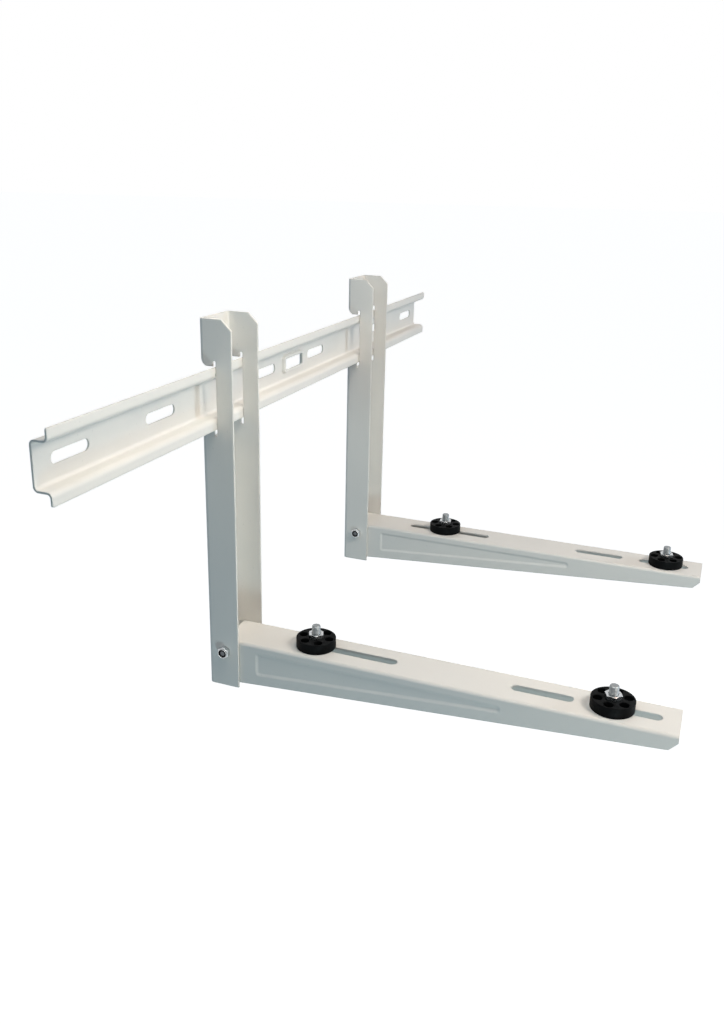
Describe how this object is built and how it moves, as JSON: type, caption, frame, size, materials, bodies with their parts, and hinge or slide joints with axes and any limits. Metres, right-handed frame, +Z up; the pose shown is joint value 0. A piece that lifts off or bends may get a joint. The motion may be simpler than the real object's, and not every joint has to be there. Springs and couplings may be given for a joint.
{
  "type": "wall bracket",
  "caption": "Wall bracket for a boxed outdoor unit: a slotted wall rail, hook-on channel uprights and tapered fold-up arms with studded rubber pads.",
  "frame": {"origin": "centre of the rail's back face, midway between the outer wall slots, on the wall plane", "axes": "+X along the rail, to the right seen from the room; +Y into the wall; +Z up, along the uprights"},
  "size_m": [0.8, 0.4177, 0.3425],
  "materials": {
    "coated_steel": "satin off-white powder coat",
    "plated_steel": "bright zinc plating",
    "pad_rubber": "matt black rubber"
  },
  "bodies": {
    "rail": {"wall_rail": "coated_steel"},
    "left_bracket": {"left_upright": "coated_steel", "left_pivot_bolt": "plated_steel", "left_pivot_nut": "plated_steel"},
    "left_shelf": {"left_arm": "coated_steel"},
    "left_rear_mount": {"left_rear_pad": "pad_rubber", "left_rear_pad_bolt": "plated_steel", "left_rear_pad_washer": "plated_steel", "left_rear_pad_nut": "plated_steel"},
    "left_front_mount": {"left_front_pad": "pad_rubber", "left_front_pad_bolt": "plated_steel", "left_front_pad_washer": "plated_steel", "left_front_pad_nut": "plated_steel"},
    "right_bracket": {"right_upright": "coated_steel", "right_pivot_bolt": "plated_steel", "right_pivot_nut": "plated_steel"},
    "right_shelf": {"right_arm": "coated_steel"},
    "right_rear_mount": {"right_rear_pad": "pad_rubber", "right_rear_pad_bolt": "plated_steel", "right_rear_pad_washer": "plated_steel", "right_rear_pad_nut": "plated_steel"},
    "right_front_mount": {"right_front_pad": "pad_rubber", "right_front_pad_bolt": "plated_steel", "right_front_pad_washer": "plated_steel", "right_front_pad_nut": "plated_steel"}
  },
  "joints": [
    {"name": "left_upright_slide", "type": "slide", "parent": "rail", "child": "left_bracket", "axis": [1, 0, 0], "range_m": [-0.215, 0.12]},
    {"name": "left_arm_fold", "type": "hinge", "parent": "left_bracket", "child": "left_shelf", "pos_m": [-0.1558, -0.017, -0.2395], "axis": [-1, 0, 0], "range_deg": [0, 74]},
    {"name": "left_rear_pad_slide", "type": "slide", "parent": "left_shelf", "child": "left_rear_mount", "axis": [0, -1, 0], "range_m": [-0.0146, 0.0736]},
    {"name": "left_front_pad_slide", "type": "slide", "parent": "left_shelf", "child": "left_front_mount", "axis": [0, -1, 0], "range_m": [-0.008, 0.0349]},
    {"name": "right_upright_slide", "type": "slide", "parent": "rail", "child": "right_bracket", "axis": [1, 0, 0], "range_m": [-0.145, 0.19]},
    {"name": "right_arm_fold", "type": "hinge", "parent": "right_bracket", "child": "right_shelf", "pos_m": [0.1801, -0.017, -0.2395], "axis": [-1, 0, 0], "range_deg": [0, 74]},
    {"name": "right_rear_pad_slide", "type": "slide", "parent": "right_shelf", "child": "right_rear_mount", "axis": [0, -1, 0], "range_m": [-0.0388, 0.0494]},
    {"name": "right_front_pad_slide", "type": "slide", "parent": "right_shelf", "child": "right_front_mount", "axis": [0, -1, 0], "range_m": [-0.0236, 0.0193]}
  ]
}
